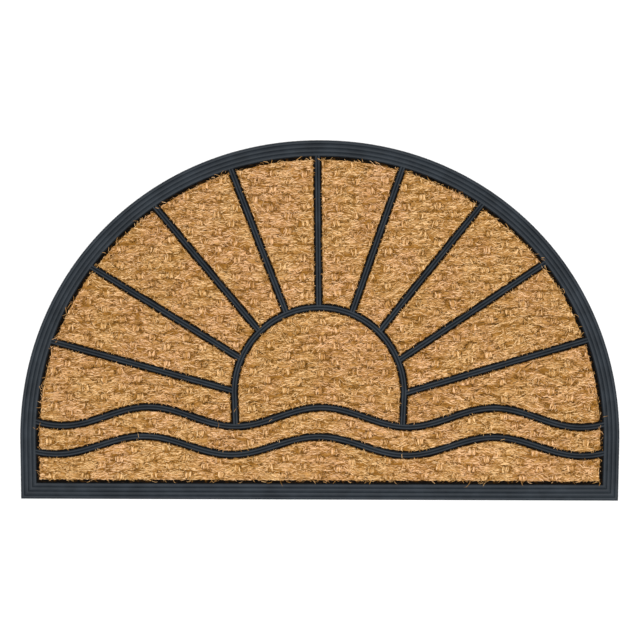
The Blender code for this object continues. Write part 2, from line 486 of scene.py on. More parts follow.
def ray_path(degrees, miss):
    """A ray's centre line, from the sun's outer bead into the border."""
    angle = math.radians(degrees)
    heading = Vector((math.cos(angle), math.sin(angle)))
    start = FOCUS + Vector((-heading.y, heading.x)) * miss
    from_centre = start - SUN_CENTRE
    along = from_centre.dot(heading)
    root = SUN_RADIUS + BEAD_SPREAD
    leave = math.sqrt(along**2 - from_centre.length_squared + root**2) - along
    near, far = start + heading * leave, arch_reach(start, heading, RIB_INTO_BORDER)
    return [near.lerp(far, step / RAY_STEPS) for step in range(RAY_STEPS + 1)]


def wave_height(wave, x):
    middle, swing, length, crest = wave
    return middle + swing * math.cos(2 * math.pi * (x - crest) / length)


def wave_path(wave):
    reach = WIDTH / 2 - RIB_INTO_BORDER
    places = [reach * (2 * step / WAVE_STEPS - 1) for step in range(WAVE_STEPS + 1)]
    return [Vector((x, wave_height(wave, x))) for x in places]


def sun_foot(side):
    x = SUN_CENTRE.x + side * (SUN_RADIUS - SUN_FOOT_INSET)
    return Vector((x, wave_height(UPPER_WAVE, x) + BEAD_SPREAD))


def sun_path():
    """The sun's centre line, from its right foot over the top to its left foot."""
    path = [sun_foot(1)]
    for step in range(SUN_STEPS + 1):
        angle = math.pi * step / SUN_STEPS
        path.append(SUN_CENTRE + SUN_RADIUS * Vector((math.cos(angle), math.sin(angle))))
    return [*path, sun_foot(-1)]


def rib_paths():
    """The centre line of every rib."""
    paths = [sun_path(), wave_path(UPPER_WAVE), wave_path(LOWER_WAVE)]
    return paths + [ray_path(degrees, miss) for degrees, miss in RAYS]


def add_node(material, kind, links=(), **settings):
    """Adds a node. A setting is a property of the node or, by its socket's name, an input's value.
    links are (input, source node, source output)."""
    node = material.node_tree.nodes.new(kind)
    for name, value in settings.items():
        if hasattr(node, name):
            setattr(node, name, value)
        else:
            node.inputs[name.replace("_", " ")].default_value = value
    for name, source, output in links:
        material.node_tree.links.new(node.inputs[name], source.outputs[output])
    return node


def new_material(name):
    """An empty material with its output, ready for a shader."""
    material = bpy.data.materials.new(name)
    material.use_nodes = True
    material.node_tree.nodes.clear()
    return material


def ramp(material, source, output, stops):
    """A colour ramp over a value. stops are (place, linear colour)."""
    node = add_node(material, "ShaderNodeValToRGB", [("Fac", source, output)])
    elements = node.color_ramp.elements
    while len(elements) < len(stops):
        elements.new(0.5)
    for element, (place, colour) in zip(elements, stops):
        element.position = place
        element.color = (*colour, 1.0)
    return node


def moulded_rubber(colours):
    """Compression-moulded recycled rubber: matt, close to black, with a fine grain from the mould and a
    bloom of dust that turns it grey in soft patches."""
    material = new_material("moulded_rubber")
    place = add_node(material, "ShaderNodeTexCoord")
    # Dust lies in patches 15 to 40 mm across.
    patches = add_node(
        material, "ShaderNodeTexNoise", [("Vector", place, "Object")], Scale=38.0, Detail=4.0, Roughness=0.6
    )
    colour = ramp(material, patches, "Fac", [(0.35, colours.rubber), (0.75, colours.rubber_dust)])
    # The mould's grain is about 0.3 mm; it is drawn at 0.8 mm so that it shows.
    grain = add_node(material, "ShaderNodeTexNoise", [("Vector", place, "Object")], Scale=1250.0, Detail=2.0)
    bump = add_node(material, "ShaderNodeBump", [("Height", grain, "Fac")], Strength=0.35, Distance=0.2 * MM)
    shader = add_node(
        material,
        "ShaderNodeBsdfPrincipled",
        [("Base Color", colour, "Color"), ("Normal", bump, "Normal")],
        Roughness=0.6,
        Specular_IOR_Level=0.24,
    )
    add_node(material, "ShaderNodeOutputMaterial", [("Surface", shader, "BSDF")])
    return material


def coir_bed_material(colours):
    """The body of the woven coir, seen between its strands: husk fibre, dull and rough. Painted shade
    darkens it with depth, from tan where a yarn rises to nearly black-brown in the pockets."""
    material = new_material("woven_coir_bed")
    place = add_node(material, "ShaderNodeTexCoord")
    parts = add_node(material, "ShaderNodeSeparateXYZ", [("Vector", place, "Object")])
    # Fibres run mostly along the weft, so the noise is drawn out along X: about 7 by 1.8 mm.
    along = add_node(
        material, "ShaderNodeMapping", [("Vector", place, "Object")], Scale=(140.0, 550.0, 400.0)
    )
    streaks = add_node(material, "ShaderNodeTexNoise", [("Vector", along, "Vector")], Scale=1.0, Detail=3.0)
    # Lower is darker: painted shade that deepens towards the foot of the gaps, added to the fibre streaks.
    height = add_node(
        material,
        "ShaderNodeMapRange",
        [("Value", parts, "Z")],
        From_Min=GAP_FLOOR,
        From_Max=COIR_TOP,
        To_Min=-0.2,
        To_Max=0.7,
    )
    tone = add_node(
        material, "ShaderNodeMath", [(0, streaks, "Fac"), (2, height, "Result")], operation="MULTIPLY_ADD"
    )
    tone.inputs[1].default_value = 0.65
    colour = ramp(
        material,
        tone,
        "Value",
        [
            (0.15, colours.coir_shade),
            (0.42, colours.coir_deep),
            (0.70, colours.coir_brown),
            (0.95, colours.coir_tan),
        ],
    )
    bump = add_node(
        material, "ShaderNodeBump", [("Height", streaks, "Fac")], Strength=0.6, Distance=0.5 * MM
    )
    shader = add_node(
        material,
        "ShaderNodeBsdfPrincipled",
        [("Base Color", colour, "Color"), ("Normal", bump, "Normal")],
        Roughness=0.9,
        Specular_IOR_Level=0.1,
    )
    add_node(material, "ShaderNodeOutputMaterial", [("Surface", shader, "BSDF")])
    return material


def coir_strand_material(colours):
    """Retted coir fibre: a husk fibre with a slight waxy sheen. Each strand carries its tone, from brown to
    straw,
    in the U of its map: its own tone, with painted shade where its yarn tucks under or dives. Its tips are
    darkened,
    where it dives under the next yarn: painted shade, with some soil."""
    material = new_material("coir_strands")
    place = add_node(material, "ShaderNodeTexCoord")
    # Husks differ, so patches about 50 mm across are more golden or more pink than the rest.
    patches = add_node(material, "ShaderNodeTexNoise", [("Vector", place, "Object")], Scale=20.0, Detail=1.0)
    tint = ramp(material, patches, "Fac", [(0.40, colours.golden), (0.60, colours.pink)])
    strand = add_node(material, "ShaderNodeUVMap", uv_map="OFBake")
    parts = add_node(material, "ShaderNodeSeparateXYZ", [("Vector", strand, "UV")])
    colour = ramp(
        material,
        parts,
        "X",
        [
            (0.0, colours.coir_deep),
            (0.28, colours.coir_brown),
            (0.62, colours.coir_tan),
            (1.0, colours.coir_straw),
        ],
    )
    # Darker towards both tips, where the strand dives under the next yarn: painted shade, with some soil.
    middle = add_node(material, "ShaderNodeMath", [(0, parts, "Y")], operation="PINGPONG")
    middle.inputs[1].default_value = 0.5
    tip_shade_and_soil = add_node(
        material,
        "ShaderNodeMapRange",
        [("Value", middle, "Value")],
        From_Min=0.02,
        From_Max=0.2,
        To_Min=0.5,
        To_Max=0.0,
    )
    tips_shaded_and_soiled = add_node(
        material, "ShaderNodeMix", [("Factor", tip_shade_and_soil, "Result"), (6, colour, "Color")], data_type="RGBA"
    )
    tips_shaded_and_soiled.inputs[7].default_value = (*colours.coir_deep, 1.0)
    tinted = add_node(
        material,
        "ShaderNodeMix",
        [(6, tips_shaded_and_soiled, 2), (7, tint, "Color")],
        data_type="RGBA",
        blend_type="MULTIPLY",
        Factor=1.0,
    )
    shader = add_node(
        material,
        "ShaderNodeBsdfPrincipled",
        [("Base Color", tinted, 2)],
        Roughness=0.6,
        Specular_IOR_Level=0.12,
    )
    add_node(material, "ShaderNodeOutputMaterial", [("Surface", shader, "BSDF")])
    return material


def select_only(piece):
    bpy.ops.object.select_all(action="DESELECT")
    piece.select_set(True)
    bpy.context.view_layer.objects.active = piece


def moulded_tray():
    """The tray's backing and border: a round blank drawn to the half-round plan, built up ring by ring."""
    bpy.ops.object.select_all(action="DESELECT")
    edge_points = ARCH_STEPS + FRONT_STEPS + 2 * SIDE_STEPS
    bpy.ops.mesh.primitive_circle_add(vertices=edge_points, radius=WIDTH / 2, fill_type="NGON")
    tray = bpy.context.object
    tray.name = tray.data.name = "moulded_rubber_tray"
    for step, vertex in enumerate(tray.data.vertices):
        vertex.co = (*half_round(step), 0.0)
    bpy.ops.object.mode_set(mode="EDIT")
    bpy.ops.mesh.select_all(action="SELECT")
    bpy.ops.mesh.normals_make_consistent(inside=False)
    bpy.ops.mesh.extrude_region_move(TRANSFORM_OT_translate={"value": (0, 0, LIP_HEIGHT)})
    distance, height = 0.0, LIP_HEIGHT
    for next_distance, next_height in border_profile():
        bpy.ops.mesh.inset(
            thickness=next_distance - distance, depth=next_height - height, use_even_offset=True
        )
        distance, height = next_distance, next_height
    bpy.ops.mesh.extrude_region_move(TRANSFORM_OT_translate={"value": (0, 0, BACKING - height)})
    bpy.ops.object.mode_set(mode="OBJECT")
    return tray


def rib_profile():
    """The section of a rib, as a closed curve that is drawn along each path."""
    right = [(RIB_HALF_SECTION[0][0], RIB_ROOT), *RIB_HALF_SECTION]
    section = right + [(-across, height) for across, height in reversed(right[:-1])]
    curve = bpy.data.curves.new("rib_profile", "CURVE")
    spline = curve.splines.new("POLY")
    spline.points.add(len(section) - 1)
    for point, (across, height) in zip(spline.points, section):
        point.co = (across, height, 0.0, 1.0)
    spline.use_cyclic_u = True
    profile = bpy.data.objects.new("rib_profile", curve)
    bpy.context.scene.collection.objects.link(profile)
    return profile


def drawn_rib(path, profile):
    """One rib: the profile drawn along its path and made a mesh."""
    curve = bpy.data.curves.new("rib", "CURVE")
    curve.dimensions = "3D"
    curve.twist_mode = "Z_UP"
    curve.bevel_mode = "OBJECT"
    curve.bevel_object = profile
    curve.use_fill_caps = True
    spline = curve.splines.new("POLY")
    spline.points.add(len(path) - 1)
    for point, place in zip(spline.points, path):
        point.co = (place.x, place.y, 0.0, 1.0)
    rib = bpy.data.objects.new("rib", curve)
    bpy.context.scene.collection.objects.link(rib)
    select_only(rib)
    bpy.ops.object.convert(target="MESH")
    return bpy.context.object


class DOORMAT_OT_moulding(bpy.types.Operator):
    """Mould the rubber tray: its backing, the ridged border and the ribs"""

    bl_idname = "doormat.moulding"
    bl_label = "Rubber moulding"

    def execute(self, context):
        tray = moulded_tray()
        profile = rib_profile()
        ribs = [drawn_rib(path, profile) for path in rib_paths()]
        bpy.data.objects.remove(profile)
        select_only(tray)
        for rib in ribs:
            rib.select_set(True)
        bpy.ops.object.join()
        bpy.ops.object.mode_set(mode="EDIT")
        bpy.ops.mesh.select_all(action="SELECT")
        bpy.ops.mesh.normals_make_consistent(inside=False)
        bpy.ops.object.mode_set(mode="OBJECT")
        bpy.ops.object.shade_smooth_by_angle(angle=math.radians(50))
        tray.data.materials.append(moulded_rubber(context.scene.doormat_colours))
        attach(tray, "root")
        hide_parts("rubber_moulding")
        return {"FINISHED"}


def bottom_outline(node):
    """The outline of a solid's flat underside, anticlockwise, in plan."""
    shape = bmesh.new()
    shape.from_mesh(node.data)
    bmesh.ops.remove_doubles(shape, verts=shape.verts, dist=MM / 1000)
    low = min(vertex.co.z for vertex in shape.verts) + MM / 100
    flat = {face for face in shape.faces if all(corner.co.z < low for corner in face.verts)}
    follow = {}
    for face in flat:
        for corner in face.loops:
            if sum(other in flat for other in corner.edge.link_faces) == 1:
                follow[corner.vert] = corner.link_loop_next.vert
    start = min(follow, key=lambda vertex: (vertex.co.x, vertex.co.y))
    outline = [start]
    while follow[outline[-1]] is not start:
        outline.append(follow[outline[-1]])
    points = np.array([vertex.co.xy for vertex in outline])
    shape.free()
    ahead = np.roll(points, -1, axis=0)
    turn = (points[:, 0] * ahead[:, 1] - ahead[:, 0] * points[:, 1]).sum()
    return points if turn > 0 else points[::-1]


def segment_distance(points, starts, ends):
    """How far each point is from the nearest of the segments."""
    best = np.full(len(points), np.inf)
    along = ends - starts
    lengths = np.maximum((along**2).sum(1), 1e-18)
    for first in range(0, len(points), POINTS_AT_A_TIME):
        after = first + POINTS_AT_A_TIME
        block = points[first:after, None, :]
        from_start = block - starts
        share = np.clip((from_start * along).sum(2) / lengths, 0.0, 1.0)
        gap = from_start - share[..., None] * along
        best[first:after] = np.sqrt((gap**2).sum(2).min(1))
    return best


def is_inside(points, outline):
    """Whether each point lies inside a closed outline."""
    ahead = np.roll(outline, -1, axis=0)
    inside = np.zeros(len(points), bool)
    for (x0, y0), (x1, y1) in zip(outline, ahead):
        if y0 == y1:
            continue
        crosses = (points[:, 1] > y0) != (points[:, 1] > y1)
        reach = x0 + (points[:, 1] - y0) * (x1 - x0) / (y1 - y0)
        inside ^= crosses & (points[:, 0] < reach)
    return inside


class CoirField:
    """One field of coir in its pocket: its outline, and which stretches of it face the border."""

    def __init__(self, name, outline, mat_edge):
        self.name = name
        ahead = np.roll(outline, -1, axis=0)
        points = []
        for start, end in zip(outline, ahead):
            steps = max(1, round(np.linalg.norm(end - start) / BED_SPACING))
            points += [start + (end - start) * step / steps for step in range(steps)]
        self.outline = np.array(points)
        self.ahead = np.roll(self.outline, -1, axis=0)
        middles = (self.outline + self.ahead) / 2
        edge_ahead = np.roll(mat_edge, -1, axis=0)
        self.at_rim = segment_distance(middles, mat_edge, edge_ahead) < RIM_DISTANCE
        along = self.ahead - self.outline
        inward = np.stack([-along[:, 1], along[:, 0]], 1)
        inward = inward / np.linalg.norm(inward, axis=1, keepdims=True)
        inward = inward + np.roll(inward, 1, axis=0)
        self.inward = inward / np.linalg.norm(inward, axis=1, keepdims=True)
        self.gap = np.where(self.at_rim, RIM_GAP, RIB_GAP)
        self.area = abs(
            (self.outline[:, 0] * self.ahead[:, 1] - self.ahead[:, 0] * self.outline[:, 1]).sum() / 2
        )

    def holds(self, points):
        return is_inside(points, self.outline)

    def edge_distance(self, points):
        return segment_distance(points, self.outline, self.ahead)

    def depth(self, points):
        """How far each point lies inside the ragged line where the yarns are cut."""
        depth = np.full(len(points), WIDTH)
        for chosen, gap in ((self.at_rim, RIM_GAP), (~self.at_rim, RIB_GAP)):
            if chosen.any():
                distance = segment_distance(points, self.outline[chosen], self.ahead[chosen])
                depth = np.minimum(depth, distance - gap)
        return depth + EDGE_RAG * smooth_noise(points[:, 0], points[:, 1], EDGE_RAG_SIZE, 77)

    def top(self, points):
        """The height that the coir's surface may reach at each point, rolling down to the edges."""
        depth = self.depth(points)
        share = np.clip(1 - depth / EDGE_ROLL, 0.0, 1.0)
        rolled = EDGE_HEIGHT + (COIR_TOP - EDGE_HEIGHT) * np.sqrt(1 - share**2)
        return np.where(depth < 0, np.maximum(GAP_FLOOR, EDGE_HEIGHT + depth * EDGE_STEEPNESS), rolled)

    def rings(self):
        """Points along the wall of the cut, which the bed's mesh needs to be steep there."""
        found = []
        for beyond in WALL_RINGS:
            ring = self.outline + self.inward * (self.gap + beyond)[:, None]
            ring = ring[self.holds(ring)]
            ring = ring[self.edge_distance(ring) > RING_TOLERANCE * (RIB_GAP + beyond)]
            found.append(ring)
        return np.concatenate(found)


def coir_fields():
    """Every coir solid as a field, in the order of their names."""
    mat_edge = bottom_outline(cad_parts["rubber_moulding"])
    names = sorted(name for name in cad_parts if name.startswith("coir_"))
    return [CoirField(name, bottom_outline(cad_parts[name]), mat_edge) for name in names]


def smooth_noise(x, y, size, seed):
    """Random values from -1 to 1 that change smoothly over a given size."""
    grid = np.random.default_rng(seed).uniform(-1, 1, (NOISE_CELLS, NOISE_CELLS))
    across, up = np.asarray(x) / size + NOISE_START[0], np.asarray(y) / size + NOISE_START[1]
    column, row = np.floor(across).astype(int), np.floor(up).astype(int)
    share_x, share_y = across - column, up - row
    share_x, share_y = share_x**2 * (3 - 2 * share_x), share_y**2 * (3 - 2 * share_y)
    left, right = column % NOISE_CELLS, (column + 1) % NOISE_CELLS
    below, above = row % NOISE_CELLS, (row + 1) % NOISE_CELLS
    near = grid[below, left] * (1 - share_x) + grid[below, right] * share_x
    far = grid[above, left] * (1 - share_x) + grid[above, right] * share_x
    return near * (1 - share_y) + far * share_y


class Weave:
    """The crossings of weft and warp over the whole mat, as uneven as hand-woven coir."""

    # Half the length and width of a weft float and of a warp bit, as shares of the two pitches.
    WEFT_LENGTH = 0.93
    WEFT_WIDTH = 0.50
    WARP_LENGTH = 0.46
    WARP_WIDTH = 0.17
    # How squarely a yarn falls away at its ends and sides: nearer 0 is squarer.
    END_FULLNESS = 0.8
    SIDE_FULLNESS = 0.6

    def __init__(self, settings):
        rng = np.random.default_rng(settings.seed)
        self.row, self.column = settings.row_pitch, settings.column_pitch
        self.rise = settings.yarn_rise
        self.rows = 2 * math.ceil(DEPTH / 2 / self.row) + 5
        self.columns = 2 * math.ceil(WIDTH / 2 / self.column) + 5
        row, column = np.mgrid[: self.rows, : self.columns]
        shape = row.shape
        self.weft = (row + column) % 2 == 0
        x = (column - self.columns // 2) * self.column + rng.normal(0, CROSSING_OFF[0], shape)
        x += self.row_shift(row, settings.seed)
        y = (row - self.rows // 2) * self.row + rng.normal(0, CROSSING_OFF[1], shape)
        self.x = x + self.drift(x, y, settings.seed, 0)
        self.y = y + self.drift(x, y, settings.seed, 1)
        self.tilt = rng.normal(0, CROSSING_TURN, shape)
        self.tone = rng.normal(0, CROSSING_TONE, shape)
        self.lift = np.where(self.weft, rng.normal(*WEFT_LIFT, shape), rng.normal(*WARP_LIFT, shape))
        self.long = rng.uniform(*FLOAT_LENGTHS, shape)
        self.shaded_side = rng.choice((-1.0, 1.0), shape)
        self.side_shade = rng.uniform(*SIDE_SHADES, shape)

    def row_shift(self, row, seed):
        """Each weft row is beaten in a little to the left or right of the next."""
        return np.random.default_rng(seed + 5).normal(0, ROW_OFF, self.rows)[row]

    def drift(self, x, y, seed, axis):
        """How far the yarns wander from their straight courses."""
        return DRIFT[axis] * smooth_noise(x, y, DRIFT_SIZE[axis], seed + 20 + axis)

    def relief(self, x, y, seed):
        """Height of the yarns above the bed at each point: the highest of the nearby pillows."""
        row = np.rint((y - self.drift(x, y, seed, 1)) / self.row).astype(int) + self.rows // 2
        column = np.rint((x - self.drift(x, y, seed, 0)) / self.column).astype(int) + self.columns // 2
        best = np.zeros(len(x))
        for up in (-1, 0, 1):
            for across in (-1, 0, 1):
                r = np.clip(row + up, 0, self.rows - 1)
                c = np.clip(column + across, 0, self.columns - 1)
                weft = self.weft[r, c]
                along = np.where(weft, x - self.x[r, c], y - self.y[r, c])
                aside = np.where(weft, y - self.y[r, c], x - self.x[r, c])
                half_long = np.where(weft, self.WEFT_LENGTH * self.column, self.WARP_LENGTH * self.row)
                half_wide = np.where(weft, self.WEFT_WIDTH * self.row, self.WARP_WIDTH * self.column)
                crown = np.clip(1 - (along / half_long) ** 2, 0, 1) ** self.END_FULLNESS
                crown *= np.clip(1 - (aside / half_wide) ** 2, 0, 1) ** self.SIDE_FULLNESS
                best = np.maximum(best, crown * self.rise + self.lift[r, c] * crown)
        return best


def mesh_from_arrays(name, points, triangles, corner_map=None):
    """A mesh object from numpy arrays. corner_map gives U and V for each triangle's corners."""
    mesh = bpy.data.meshes.new(name)
    mesh.vertices.add(len(points))
    mesh.vertices.foreach_set("co", np.ascontiguousarray(points, np.float32).ravel())
    mesh.loops.add(3 * len(triangles))
    mesh.loops.foreach_set("vertex_index", np.ascontiguousarray(triangles, np.int32).ravel())
    mesh.polygons.add(len(triangles))
    mesh.polygons.foreach_set("loop_start", np.arange(0, 3 * len(triangles), 3, dtype=np.int32))
    mesh.update(calc_edges=True)
    if corner_map is not None:
        layer = mesh.uv_layers.new(name="OFBake")
        layer.data.foreach_set("uv", np.ascontiguousarray(corner_map, np.float32).ravel())
    mesh.shade_smooth()
    made = bpy.data.objects.new(name, mesh)
    bpy.context.scene.collection.objects.link(made)
    return made


def woven_bed(field, weave, seed):
    """The closed body of one field: pillowy on top, rolled at its edges, flat underneath."""
    low, high = field.outline.min(0), field.outline.max(0)
    step_y = BED_SPACING * math.sqrt(3) / 2
    rows = np.arange(low[1], high[1], step_y)
    columns = np.arange(low[0], high[0], BED_SPACING)
    x, y = np.meshgrid(columns, rows)
    x[1::2] += BED_SPACING / 2
    inner = np.stack([x.ravel(), y.ravel()], 1)
    inner = inner[field.holds(inner)]
    inner = inner[field.depth(inner) > WALL_RINGS[-1] + BED_SPACING / 2]
    plan = np.concatenate([field.outline, field.rings(), inner])
    rim = len(field.outline)
    edges = [(place, (place + 1) % rim) for place in range(rim)]
    result = delaunay_2d_cdt([Vector(point) for point in plan], edges, [], 1, 1e-7)
    plan = np.array(result[0])
    faces = np.array(result[2])
    relief = weave.relief(plan[:, 0], plan[:, 1], seed)
    height = np.minimum(field.top(plan), COIR_TOP - weave.rise + relief) - BED_BELOW
    height = np.maximum(height, GAP_FLOOR)
    bed_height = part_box(field.name)[0].z
    points = np.column_stack([plan, height])
    under = np.column_stack([plan[:rim], np.full(rim, bed_height)])
    ring = np.arange(rim)
    ahead = (ring + 1) % rim
    first = len(points)
    wall = np.concatenate(
        [
            np.column_stack([ring, first + ring, first + ahead]),
            np.column_stack([ring, first + ahead, ahead]),
        ]
    )
    floor = np.array(delaunay_2d_cdt([Vector(point) for point in plan[:rim]], edges, [], 1, 1e-7)[2])
    triangles = np.concatenate([faces, wall, first + floor[:, ::-1]])
    name = field.name.replace("coir", "woven_coir")
    return mesh_from_arrays(name, np.concatenate([points, under]), triangles)


class Strands:
    """Strands in arrays: the points along each, how wide it is, and its tone from 0, dark, to 1, pale."""

    def __init__(self, points, width, tone):
        self.points, self.width, self.tone = points, width, tone

    def __len__(self):
        return len(self.points)

    def middles(self):
        return self.points[:, 1:-1].mean(1)

    def chosen(self, keep):
        return Strands(self.points[keep], self.width[keep], self.tone[keep])

    @staticmethod
    def joined(parts):
        return Strands(
            np.concatenate([part.points for part in parts]),
            np.concatenate([part.width for part in parts]),
            np.concatenate([part.tone for part in parts]),
        )

    def mesh(self, name, rng):
        """A closed three-sided tube with pointed ends for every strand."""
        count = len(self)
        ahead = np.gradient(self.points, axis=1)
        ahead /= np.maximum(np.linalg.norm(ahead, axis=2, keepdims=True), 1e-12)
        aside = np.cross(ahead, (0.0, 0.0, 1.0))
        aside /= np.maximum(np.linalg.norm(aside, axis=2, keepdims=True), 1e-12)
        over = np.cross(aside, ahead)
        roll = rng.uniform(0, 2 * math.pi, (count, 1, 1))
        turns = roll + np.arange(STRAND_SIDES) * 2 * math.pi / STRAND_SIDES
        radius = self.width[:, None, None] / 2
        ring = np.cos(turns)[..., None] * aside[:, 1:-1, None]
        ring = ring + np.sin(turns)[..., None] * over[:, 1:-1, None]
        rings = self.points[:, 1:-1, None] + ring * radius[..., None]
        rings = rings.reshape(count, STRAND_RINGS * STRAND_SIDES, 3)
        points = np.concatenate([self.points[:, :1], rings, self.points[:, -1:]], 1)
        triangles = self.triangles()
        corners = np.concatenate([[0.0], np.repeat(STRAND_PLACES[1:-1], STRAND_SIDES), [1.0]])
        per_strand = points.shape[1]
        faces = (np.arange(count)[:, None, None] * per_strand + triangles).reshape(-1, 3)
        along = np.broadcast_to(corners[triangles], (count, *triangles.shape))
        tone = np.broadcast_to(np.clip(self.tone, 0.01, 0.99)[:, None, None], along.shape)
        corner_map = np.stack([tone, 0.02 + 0.96 * along], -1)
        return mesh_from_arrays(name, points.reshape(-1, 3), faces, corner_map)

    @staticmethod
    def triangles():
        """The triangles of one strand: a fan at each tip and bands of quads between."""
        faces = []
        tip = 1 + STRAND_RINGS * STRAND_SIDES
        for side in range(STRAND_SIDES):
            after = (side + 1) % STRAND_SIDES
            faces.append((0, 1 + after, 1 + side))
            for band in range(STRAND_RINGS - 1):
                low, high = 1 + band * STRAND_SIDES, 1 + (band + 1) * STRAND_SIDES
                faces.append((low + side, low + after, high + after))
                faces.append((low + side, high + after, high + side))
            faces.append((tip, tip - STRAND_SIDES + side, tip - STRAND_SIDES + after))
        return np.array(faces)


def turned(along, aside, angle, middle_x, middle_y):
    """Points given along and aside of a run, turned with it and moved to its middle."""
    cosine, sine = np.cos(angle)[:, None], np.sin(angle)[:, None]
    x = middle_x[:, None] + along * cosine - aside * sine
    y = middle_y[:, None] + along * sine + aside * cosine
    return x, y


def yarn_strands(weave, settings, rng, weft):
    """The strands of every weft float, or of every warp bit, before they are cut to the fields."""
    row, column = np.nonzero(weave.weft == weft)
    count = settings.weft_strands if weft else settings.warp_strands
    sites = np.repeat(np.arange(len(row)), count)
    row, column = row[sites], column[sites]
    number = len(sites)
    if weft:
        half_long = weave.WEFT_LENGTH * weave.column * weave.long[row, column]
        half_wide = weave.WEFT_WIDTH * weave.row
        length = rng.uniform(*WEFT_STRAND, number)
        slant = rng.normal(0, WEFT_SLANT, number)
        place = rng.uniform(-WEFT_SPREAD, WEFT_SPREAD, number)
    else:
        half_long = weave.WARP_LENGTH * weave.row * np.ones(number)
        half_wide = weave.WARP_WIDTH * weave.column
        length = 2 * half_long * rng.uniform(*WARP_STRAND, number)
        slant = rng.normal(0, WARP_SLANT, number)
        place = rng.choice((-1, 1), number) * rng.normal(*WARP_STROKE, number)
    middle = rng.uniform(-1, 1, number) * np.maximum(half_long - 0.35 * length, 0.0)
    share = STRAND_PLACES[None, :] - 0.5
    along = share * length[:, None] + middle[:, None]
    run = along / half_long[:, None]
    aside = (place * half_wide)[:, None] * (1 - YARN_NARROWS * run**2)
    aside += share * length[:, None] * np.tan(slant)[:, None]
    aside += rng.normal(0, settings.strand_curl, (number, len(STRAND_PLACES)))
    middle_x, middle_y = weave.x[row, column], weave.y[row, column]
    angle = weave.tilt[row, column] + (0.0 if weft else math.pi / 2)
    angle += SWIRL * smooth_noise(middle_x, middle_y, SWIRL_SIZE, settings.seed + 4)
    x, y = turned(along, aside, angle, middle_x, middle_y)
    crown = (1 - np.minimum(np.abs(run), 1.2) ** 3) * weave.rise
    if weft:
        crown = crown - settings.yarn_round * np.abs(place[:, None]) ** 2.5
    z = COIR_TOP - STRANDS_BELOW - weave.rise + crown + weave.lift[row, column, None]
    z += rng.uniform(0, STRANDS_DIFFER, (number, 1)) - ENDS_DIVE * (2 * share) ** 2
    z += rng.normal(0, 0.4 * settings.strand_curl, (number, len(STRAND_PLACES)))
    tone = YARN_TONE + weave.tone[row, column] + rng.normal(0, settings.tone_spread, number)
    # Painted shade: darker on the side of the yarn that tucks under its neighbour and towards its ends,
    # where it dives under the warp.
    if weft:
        towards_shade = place * weave.shaded_side[row, column]
        tone -= weave.side_shade[row, column] * np.maximum(towards_shade - SIDE_SHADED_FROM, 0.0)
        tone -= END_SHADE * np.maximum(np.abs(middle / half_long) - END_SHADED_FROM, 0.0)
    tone += PATCH_TONE * smooth_noise(x[:, 1], y[:, 1], PATCH_SIZE, settings.seed + 3)
    width = settings.strand_width * rng.uniform(0.65, 1.3, number)
    return Strands(np.stack([x, y, z], -1), width, tone)


def crevice_shade_strands(weave, settings, rng):
    """Short dark bits where a float dives under the warp: painted shade of the crevices there."""
    row, column = np.nonzero(weave.weft)
    row, column = (np.repeat(places, settings.crevice_shade_bits) for places in (row, column))
    number = len(row)
    out = rng.choice((-1.0, 1.0), number) * rng.normal(*CREVICE_SHADE_PLACE, number)
    middle_x = weave.x[row, column] + out * weave.WEFT_LENGTH * weave.column
    middle_y = weave.y[row, column] + rng.uniform(-0.5, 0.5, number) * weave.row
    heading = np.where(rng.random(number) < CREVICE_SHADE_UPRIGHT, math.pi / 2, 0.0)
    heading += rng.normal(0, CREVICE_SHADE_TURN, number)
    along = (STRAND_PLACES - 0.5) * rng.uniform(*CREVICE_SHADE_BIT, (number, 1))
    aside = rng.normal(0, 0.2 * MM, along.shape)
    x, y = turned(along, aside, heading, middle_x, middle_y)
    z = np.broadcast_to(COIR_TOP - rng.uniform(*CREVICE_SHADE_BELOW, (number, 1)), x.shape)
    width = settings.strand_width * rng.uniform(0.7, 1.3, number)
    return Strands(np.stack([x, y, z], -1), width, rng.uniform(*CREVICE_SHADE_TONES, number))


def loose_strands(settings, rng):
    """Strands that have worked loose and lie across the weave."""
    number = settings.loose_strands
    middle = rng.uniform((CAD_LOW.x, CAD_LOW.y), (CAD_HIGH.x, CAD_HIGH.y), (number, 2))
    heading = rng.normal(0, LOOSE_TURN, number)
    length = rng.uniform(*LOOSE_STRAND, number)
    bow = rng.normal(0, LOOSE_BOW, number) * length
    share = STRAND_PLACES[None, :] - 0.5
    along = share * length[:, None]
    aside = bow[:, None] * (1 - (2 * share) ** 2)
    x, y = turned(along, aside, heading, *middle.T)
    z = COIR_TOP + rng.uniform(*LOOSE_LIFT, (number, 1)) - LOOSE_DIVE * (2 * share) ** 2
    width = settings.strand_width * rng.uniform(0.4, 0.8, number)
    return Strands(np.stack([x, y, z], -1), width, rng.normal(*LOOSE_TONE, number))


def cut_to_field(strands, field):
    """The strands whose middle lies in a field, with their ends drawn back into it and their tops under its
    roll."""
    low, high = field.outline.min(0), field.outline.max(0)
    middle = strands.middles()[:, :2]
    strands = strands.chosen(((middle > low) & (middle < high)).all(1))
    strands = strands.chosen(field.holds(strands.middles()[:, :2]))
    strands = strands.chosen(field.depth(strands.middles()[:, :2]) > 0)
    points = strands.points.copy()
    middle = strands.middles()
    keep = np.ones(len(points), bool)
    for places in ((1, 0), (2, 3)):
        share = np.zeros(len(points))
        tip = points[:, places[1]]
        for trial in (0.25, 0.5, 0.75, 1.0):
            reach = middle + (tip - middle) * trial
            fits = field.holds(reach[:, :2]) & (field.depth(reach[:, :2]) > 0) & (share == (trial - 0.25))
            share[fits] = trial
        keep &= share > 0.2
        for place in places:
            points[:, place] = middle + (points[:, place] - middle) * share[:, None]
    strands = Strands(points, strands.width, strands.tone).chosen(keep)
    flat = strands.points.reshape(-1, 3)
    flat[:, 2] = np.minimum(flat[:, 2], field.top(flat[:, :2]) + 0.1 * MM)
    return strands


